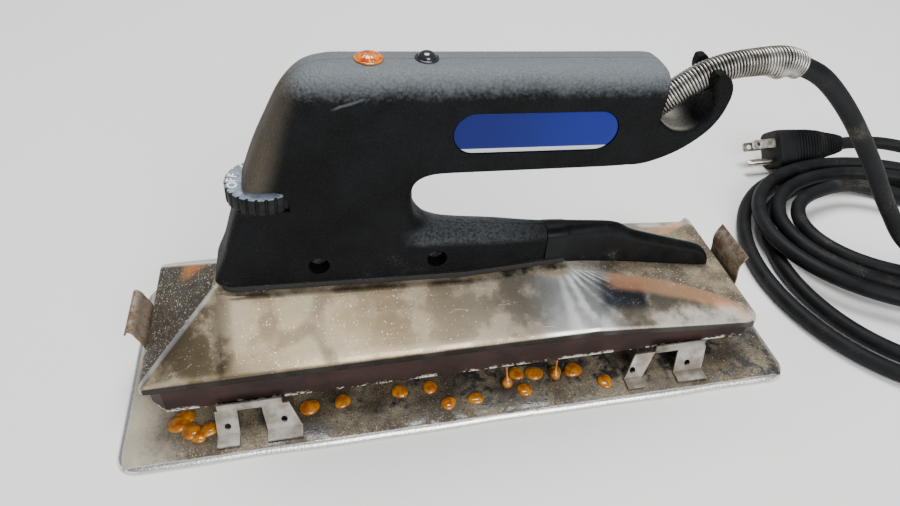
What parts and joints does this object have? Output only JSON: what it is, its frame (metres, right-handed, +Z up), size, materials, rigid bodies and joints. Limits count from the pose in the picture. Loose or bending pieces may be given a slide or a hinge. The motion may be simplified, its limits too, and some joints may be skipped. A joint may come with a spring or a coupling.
{
  "type": "carpet seaming iron",
  "caption": "Hot-melt carpet seaming iron with hipped steel cover and open-backed handle, resting in its sheet-metal tray, with spring strain relief, coiled lead and plug.",
  "frame": {"origin": "on the table, at the middle of the tray", "axes": "+X along the tray towards the cord end, -Y towards the nameplate side, +Z up"},
  "size_m": [0.552, 0.2298, 0.1644],
  "materials": {
    "tray_tin": "dirty pressed sheet with a bright rim",
    "dull_steel": "dull and stained",
    "rusty_steel": "rust-stained sheet",
    "coated_iron": "dark coated casting",
    "polished_steel": "polished, scratched, with a tan film",
    "gasket_rubber": "matt and dusty",
    "grained_plastic": "leather-grained black",
    "smooth_plastic": "smooth black",
    "dial_plastic": "serrated black",
    "brass": "plain",
    "ceramic": "matt",
    "bright_steel": "bright",
    "lead_sleeve": "woven sleeve",
    "cord_rubber": "smooth black, handled",
    "amber": "ribbed amber",
    "lamp_glass": "clear",
    "label_blue": "blue plate with a silver rim"
  },
  "bodies": {
    "tray": {"tray_plate": "tray_tin", "bracket_nose_near": "dull_steel", "bracket_nose_far": "dull_steel", "bracket_heel_near": "dull_steel", "bracket_heel_far": "dull_steel", "clip_nose": "rusty_steel", "clip_heel": "rusty_steel", "cord_free": "cord_rubber", "cord_coil": "cord_rubber", "plug_body": "cord_rubber", "plug_blade_near": "bright_steel", "plug_blade_far": "bright_steel", "plug_earth_pin": "bright_steel"},
    "iron": {"base_plate": "coated_iron", "heating_element": "dull_steel", "cover": "polished_steel", "foot_gasket": "gasket_rubber", "handle_shell_near": "grained_plastic", "handle_shell_far": "grained_plastic", "shell_screw_front": "dull_steel", "shell_screw_rear": "dull_steel", "tail_guide": "smooth_plastic", "thermostat_body": "ceramic", "mounting_stud_front": "bright_steel", "mounting_stud_rear": "bright_steel", "stud_nut_front": "bright_steel", "stud_nut_rear": "bright_steel", "terminal_block": "ceramic", "heater_lead_near": "lead_sleeve", "heater_lead_far": "lead_sleeve", "thermostat_lead": "lead_sleeve", "inner_cord": "cord_rubber", "cord_clamp": "smooth_plastic", "amber_lens": "amber", "top_plug": "smooth_plastic", "neon_lamp": "lamp_glass", "nameplate": "label_blue", "strain_relief_spring": "bright_steel"},
    "dial": {"dial_wheel": "dial_plastic", "dial_shaft": "brass"}
  },
  "joints": [
    {"name": "iron_lift", "type": "slide", "parent": "tray", "child": "iron", "axis": [0, 0, 1], "range_m": [0, 0.06]},
    {"name": "dial_turn", "type": "hinge", "parent": "iron", "child": "dial", "pos_m": [-0.08444, 0, 0.11046], "axis": [0.0599, 0, 0.9982], "range_deg": [0, 300]}
  ]
}
